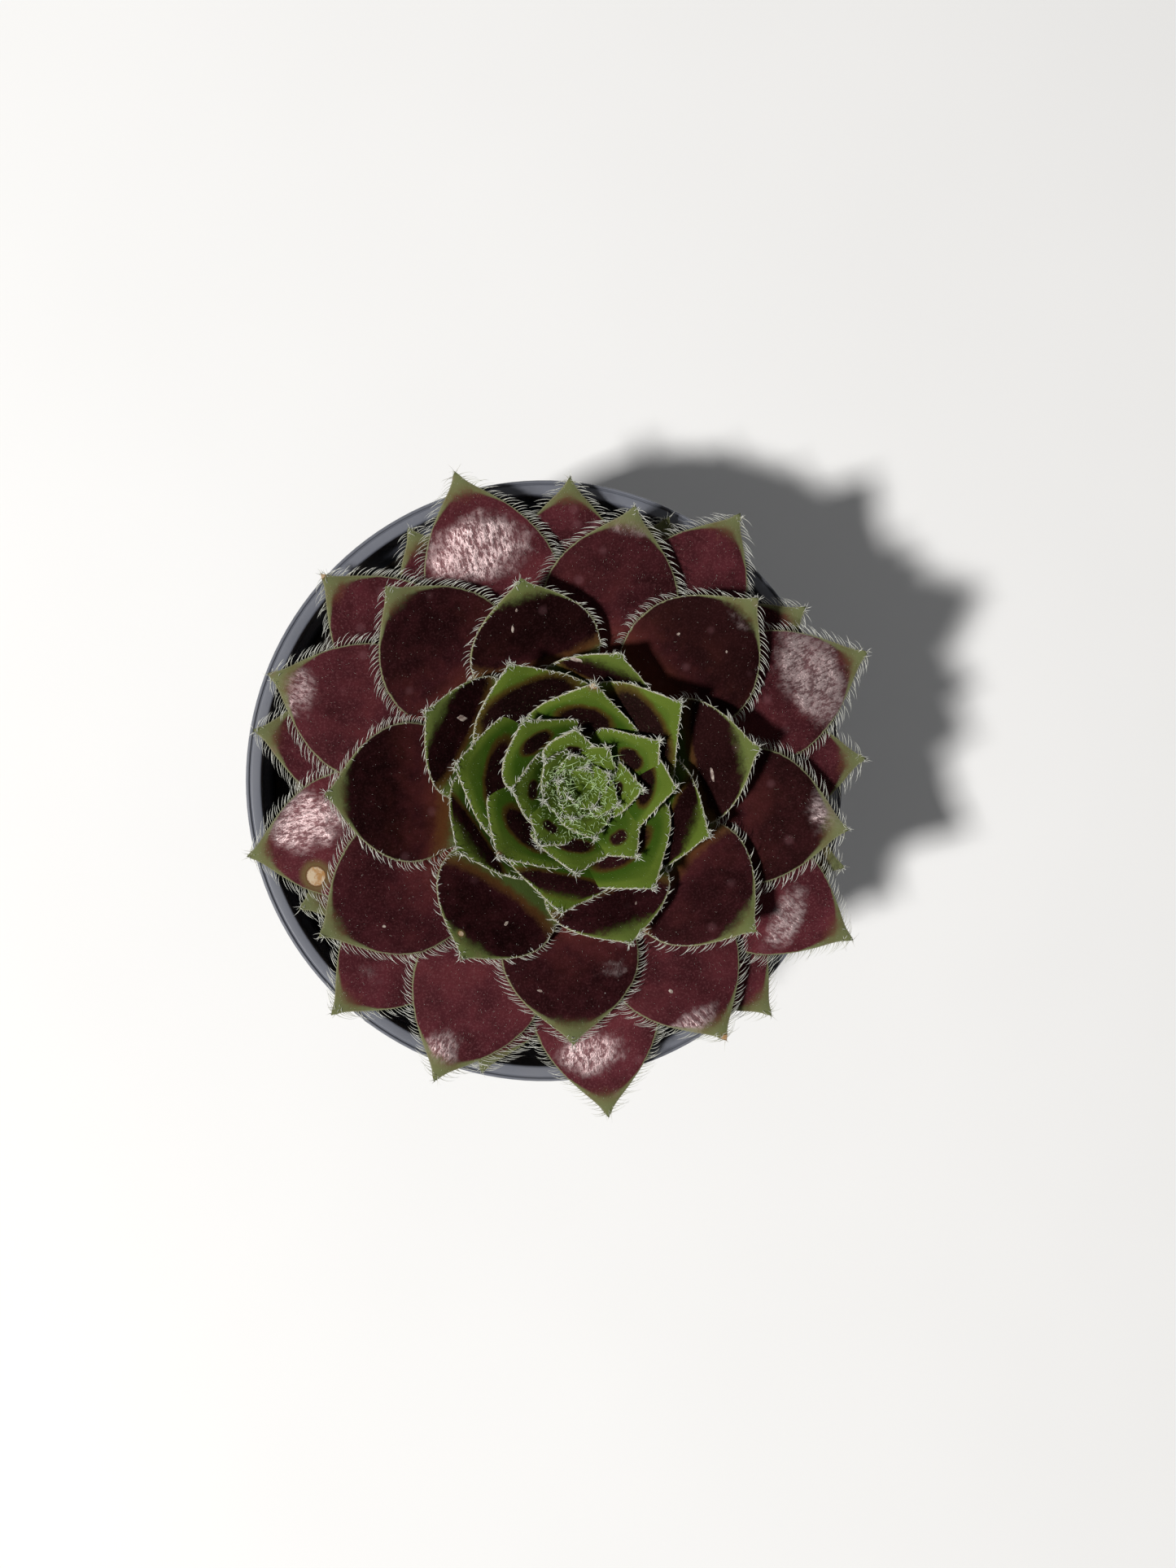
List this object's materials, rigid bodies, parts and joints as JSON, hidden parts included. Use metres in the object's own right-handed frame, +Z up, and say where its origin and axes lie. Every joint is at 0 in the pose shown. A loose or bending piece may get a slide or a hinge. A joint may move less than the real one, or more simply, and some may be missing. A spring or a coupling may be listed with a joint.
{
  "type": "potted houseleek",
  "caption": "Low rosette of pointed, hair-edged fleshy leaves, mahogany outside and green at the heart, growing in a round thin-walled nursery pot.",
  "frame": {"origin": "centre of the flat disc under the pot, on the surface that it stands on", "axes": "+Z up along the pot's axis; seen from above with +Y up the page and +X to the right, the plant lies as in the picture"},
  "size_m": [0.0914, 0.0946, 0.0931],
  "materials": {
    "pot_plastic": "black moulded plastic with a slate cast, lightly scuffed",
    "potting_mix": "dark, moist, crumbly",
    "mahogany_leaf": "fleshy leaf with fine silky down, green margin and point",
    "green_leaf": "fleshy leaf with fine silky down and a dark crescent under the point"
  },
  "bodies": {
    "root": {"pot": "pot_plastic", "soil": "potting_mix", "rosette": "mahogany_leaf", "heart": "green_leaf"}
  },
  "joints": []
}
